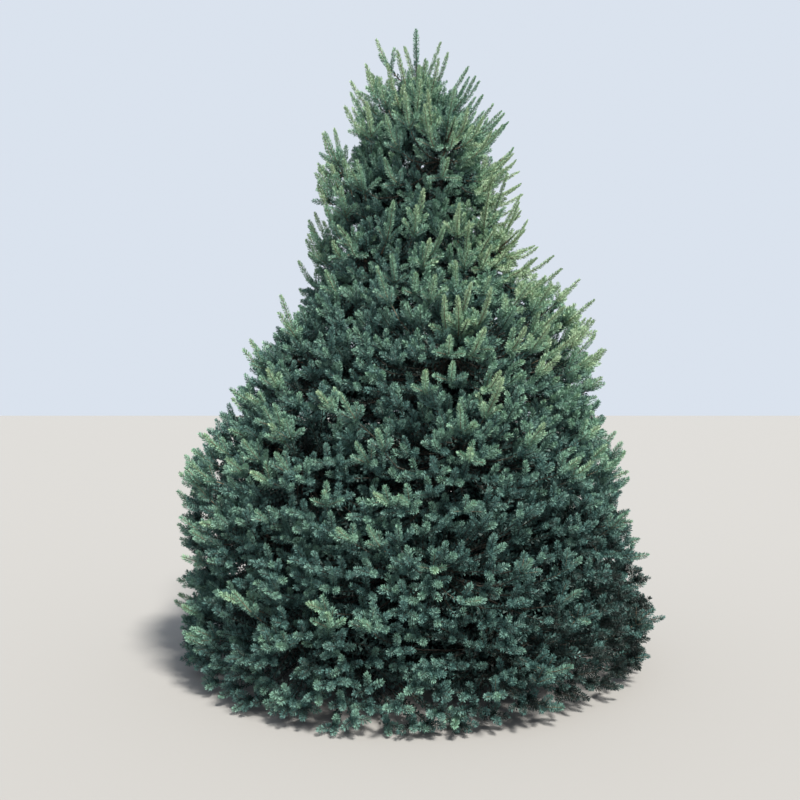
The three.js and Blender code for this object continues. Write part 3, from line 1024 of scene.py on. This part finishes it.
class SpruceColours(bpy.types.PropertyGroup):
    """Base colours of the bark and of the tones of needles, from the darkest to the palest."""

    bark: colour_value("Bark", "The plates of the trunk's bark", (0.19, 0.145, 0.11))
    crack: colour_value("Crack", "The cracks of the bark", (0.035, 0.026, 0.02))
    limb: colour_value("Limb", "The bark of the boughs", (0.15, 0.11, 0.08))
    # The older twigs' dark base colour is partly their bark's own and partly painted shade of the crown's
    # inside.
    twig: colour_value("Twig", "Older twigs", (0.034, 0.029, 0.023))
    young_twig: colour_value("Young twig", "Last year's twigs", (0.048, 0.039, 0.029))
    fresh_twig: colour_value("Fresh twig", "This year's twigs", (0.18, 0.135, 0.09))
    tone_0: colour_value("Needles 0", "Shaded old needles", (0.013, 0.026, 0.023))
    tone_1: colour_value("Needles 1", "Deep blue-green", (0.035, 0.074, 0.066))
    tone_2: colour_value("Needles 2", "Blue-green", (0.064, 0.139, 0.126))
    tone_3: colour_value("Needles 3", "Grey blue-green", (0.099, 0.191, 0.162))
    tone_4: colour_value("Needles 4", "Green", (0.136, 0.252, 0.194))
    tone_5: colour_value("Needles 5", "Light green", (0.172, 0.31, 0.222))
    tone_6: colour_value("Needles 6", "Yellow-green", (0.232, 0.37, 0.245))
    tone_7: colour_value("Needles 7", "Pale tips", (0.318, 0.44, 0.28))


class SpruceStage(bpy.types.PropertyGroup):
    """The stage: floor, light and camera."""

    eye_height: length_value("Eye height", "Height of the camera over the ground", 1.55)
    distance: length_value("Distance", "Distance from the camera to the trunk", 4.8)
    offset: length_value("Offset", "How far the camera stands left of the trunk", 0.096)
    lens: number_value("Lens", "Focal length, in millimetres on a sensor 36 mm wide", 36)
    dip: angle_value("Dip", "How far the camera looks down", 0.015)
    floor: colour_value("Floor", "The floor", (0.25, 0.245, 0.238))
    sky: colour_value("Sky", "The light from all round", (0.78, 0.85, 0.95))
    sky_strength: number_value("Sky strength", "Strength of the light from all round", 0.9)
    key_strength: number_value("Key strength", "Strength of the main light", 8.0)
    key_angle: angle_value("Key angle", "How wide and soft the main light is", 0.2)


class SPRUCE_OT_trunk(bpy.types.Operator):
    """Make the trunk with its scaly bark"""

    bl_idname = "spruce.trunk"
    bl_label = "Trunk"

    def execute(self, context):
        sizes = context.scene.spruce_trunk
        colours = context.scene.spruce_colours
        steps = [i / TRUNK_RINGS for i in range(TRUNK_RINGS + 1)]
        levels = [TRUNK_TOP * step ** TRUNK_RING_POWER for step in steps]
        radii = [lerp(sizes.foot_radius, sizes.top_radius, (z / TRUNK_TOP) ** TRUNK_TAPER) for z in levels]

        def relief(point, turn, centre):
            lobes = 1 + FLARE_LOBE_DEPTH * math.cos(FLARE_LOBES * turn)
            flare = sizes.flare * lobes * math.exp(-centre.z / FLARE_HEIGHT)
            depth = lerp(sizes.relief, TOP_RELIEF * sizes.relief, centre.z / TRUNK_TOP)
            return flare + scaly(point, sizes.plate, PLATE_HEIGHT * sizes.plate, depth)

        builder = tube([trunk_centre(z) for z in levels], radii, TRUNK_SIDES, relief, level=True)
        piece = placed("trunk_bark", mesh_of(builder, "trunk_bark"))
        material = bark_material("trunk_bark", colours.bark, colours.crack, TRUNK_GRAIN, TRUNK_CRACKING)
        piece.data.materials.append(material)
        settle(piece, ["trunk"])
        return {"FINISHED"}


class SPRUCE_OT_boughs(bpy.types.Operator):
    """Make the boughs of each tier, each one tapering limb that runs on into its mass"""

    bl_idname = "spruce.boughs"
    bl_label = "Boughs"

    def execute(self, context):
        colours = context.scene.spruce_colours
        material = bark_material("bough_bark", colours.limb, colours.crack, BOUGH_GRAIN, BOUGH_CRACKING)
        for tier in range(LEADER):
            whole = bmesh.new()
            for index in range(TIERS[tier][0]):
                part = mesh_of(self.limb(Room(tier, index).limb), "limb")
                whole.from_mesh(part)
                bpy.data.meshes.remove(part)
            name = f"boughs_tier_{tier + 1}"
            piece = placed(name, mesh_of(whole, name))
            piece.data.materials.append(material)
            settle(piece, [f"bough_{tier + 1}_{i + 1}" for i in range(TIERS[tier][0])])
        return {"FINISHED"}

    def limb(self, curve):
        """One limb: a bough with its collar, and then the stem that tapers on within the mass."""
        foot = LIMB_THICKNESS * curve.length
        rings = round(curve.length / LIMB_RING_GAP)
        shares = [lerp(LIMB_START, STEM_END, i / rings) for i in range(rings + 1)]
        radii = []
        for share in shares:
            bare = min(share / BARE_SHARE, 1)
            further = max(0, (share - BARE_SHARE) / (STEM_END - BARE_SHARE))
            thick = foot * (1 - BARE_SHARE * bare + BOUGH_COLLAR * math.exp(-COLLAR_FALL * bare))
            radii.append(lerp(thick, STEM_TIP_RADIUS, further))

        def relief(point, turn, centre):
            return scaly(point, LIMB_PLATE, LIMB_PLATE, LIMB_RELIEF)

        return tube([curve.at(share) for share in shares], radii, LIMB_SIDES, relief)


def masses():
    """The tier, the index and the label of each mass of foliage."""
    for tier, row in enumerate(TIERS):
        for index in range(row[0]):
            yield tier, index, "leader" if tier == LEADER else f"{tier + 1}_{index + 1}"


class SPRUCE_OT_twigs(bpy.types.Operator):
    """Make the twigs of each mass of foliage"""

    bl_idname = "spruce.twigs"
    bl_label = "Twigs"

    def execute(self, context):
        colours = context.scene.spruce_colours
        names = ("twig", "young_twig", "fresh_twig")
        tree = wood_tree([twig_material(name, getattr(colours, name)) for name in names])
        for tier, index, label in masses():
            wood = grow_mass(tier, index, context.scene.spruce_crown)[0]
            piece = grown(f"twigs_{label}", wood, tree, {"sides": TWIG_SIDES})
            settle(piece, [f"foliage_{label}"])
        return {"FINISHED"}


class SPRUCE_OT_needles(bpy.types.Operator):
    """Make the needles of each mass of foliage"""

    bl_idname = "spruce.needles"
    bl_label = "Needles"

    def execute(self, context):
        colours = context.scene.spruce_colours
        sizes = context.scene.spruce_needles
        materials = []
        for number in range(TONES):
            tone = getattr(colours, f"tone_{number}")
            materials.append(plain_material(f"needles_{number}", tone, NEEDLE_ROUGHNESS))
        tree = needle_tree(materials)
        needle = unit_needle()
        values = {key: getattr(sizes, key) for key in SpruceNeedles.__annotations__}
        values["needle"] = needle
        for tier, index, label in masses():
            needles = grow_mass(tier, index, context.scene.spruce_crown)[1]
            piece = grown(f"needles_{label}", needles, tree, values)
            settle(piece, [f"foliage_{label}"])
        bpy.data.objects.remove(needle)
        return {"FINISHED"}


class SPRUCE_OT_stage(bpy.types.Operator):
    """Make the floor, the lights and the camera"""

    bl_idname = "spruce.stage"
    bl_label = "Stage"

    def execute(self, context):
        sizes = context.scene.spruce_stage
        scene = context.scene
        mesh = bpy.data.meshes.new("floor")
        corners = [(x * FLOOR_HALF, y * FLOOR_HALF, FLOOR_LEVEL) for x, y in SQUARE]
        mesh.from_pydata(corners, [], [(0, 1, 2, 3)])
        mesh.materials.append(plain_material("floor", sizes.floor, FLOOR_ROUGHNESS))
        placed("floor", mesh)

        world = bpy.data.worlds.new("sky")
        world.use_nodes = True
        background = world.node_tree.nodes["Background"]
        background.inputs["Color"].default_value = (*sizes.sky, 1)
        background.inputs["Strength"].default_value = sizes.sky_strength
        scene.world = world
        scene.view_settings.view_transform = "Standard"

        key = placed("key", bpy.data.lights.new("key", "SUN"))
        key.data.energy = sizes.key_strength
        key.data.angle = sizes.key_angle
        key.data.color = KEY_COLOUR
        key.rotation_euler = Vector(KEY_FROM).to_track_quat("Z", "Y").to_euler()

        camera = placed("camera", bpy.data.cameras.new("camera"))
        camera.data.sensor_width = SENSOR_WIDTH
        camera.data.lens = sizes.lens
        camera.location = (-sizes.offset, -sizes.distance, sizes.eye_height)
        camera.rotation_euler = (math.pi / 2 - sizes.dip, 0, 0)
        scene.camera = camera
        return {"FINISHED"}


class SPRUCE_PT_panel(bpy.types.Panel):
    """The steps and sizes of the tree in the 3D view's sidebar."""

    bl_label = "Spruce"
    bl_space_type = "VIEW_3D"
    bl_region_type = "UI"
    bl_category = "Spruce"

    def draw(self, context):
        for step in STEPS:
            self.layout.operator(step.bl_idname)
        for name, group in GROUPS.items():
            box = self.layout.box()
            box.label(text=name.replace("_", " ").capitalize())
            for key in group.__annotations__:
                box.prop(getattr(context.scene, name), key)


STEPS = (SPRUCE_OT_trunk, SPRUCE_OT_boughs, SPRUCE_OT_twigs, SPRUCE_OT_needles, SPRUCE_OT_stage)
GROUPS = {
    "spruce_crown": SpruceCrown,
    "spruce_needles": SpruceNeedles,
    "spruce_trunk": SpruceTrunk,
    "spruce_colours": SpruceColours,
    "spruce_stage": SpruceStage,
}


def register():
    for kind in (*GROUPS.values(), *STEPS, SPRUCE_PT_panel):
        bpy.utils.register_class(kind)
    for name, group in GROUPS.items():
        setattr(bpy.types.Scene, name, PointerProperty(type=group))


def unregister():
    for name in GROUPS:
        delattr(bpy.types.Scene, name)
    for kind in (SPRUCE_PT_panel, *STEPS, *GROUPS.values()):
        bpy.utils.unregister_class(kind)


def main():
    register()
    bpy.ops.spruce.trunk()
    bpy.ops.spruce.boughs()
    bpy.ops.spruce.twigs()
    bpy.ops.spruce.needles()
    bpy.ops.spruce.stage()


if __name__ == "__main__":
    main()
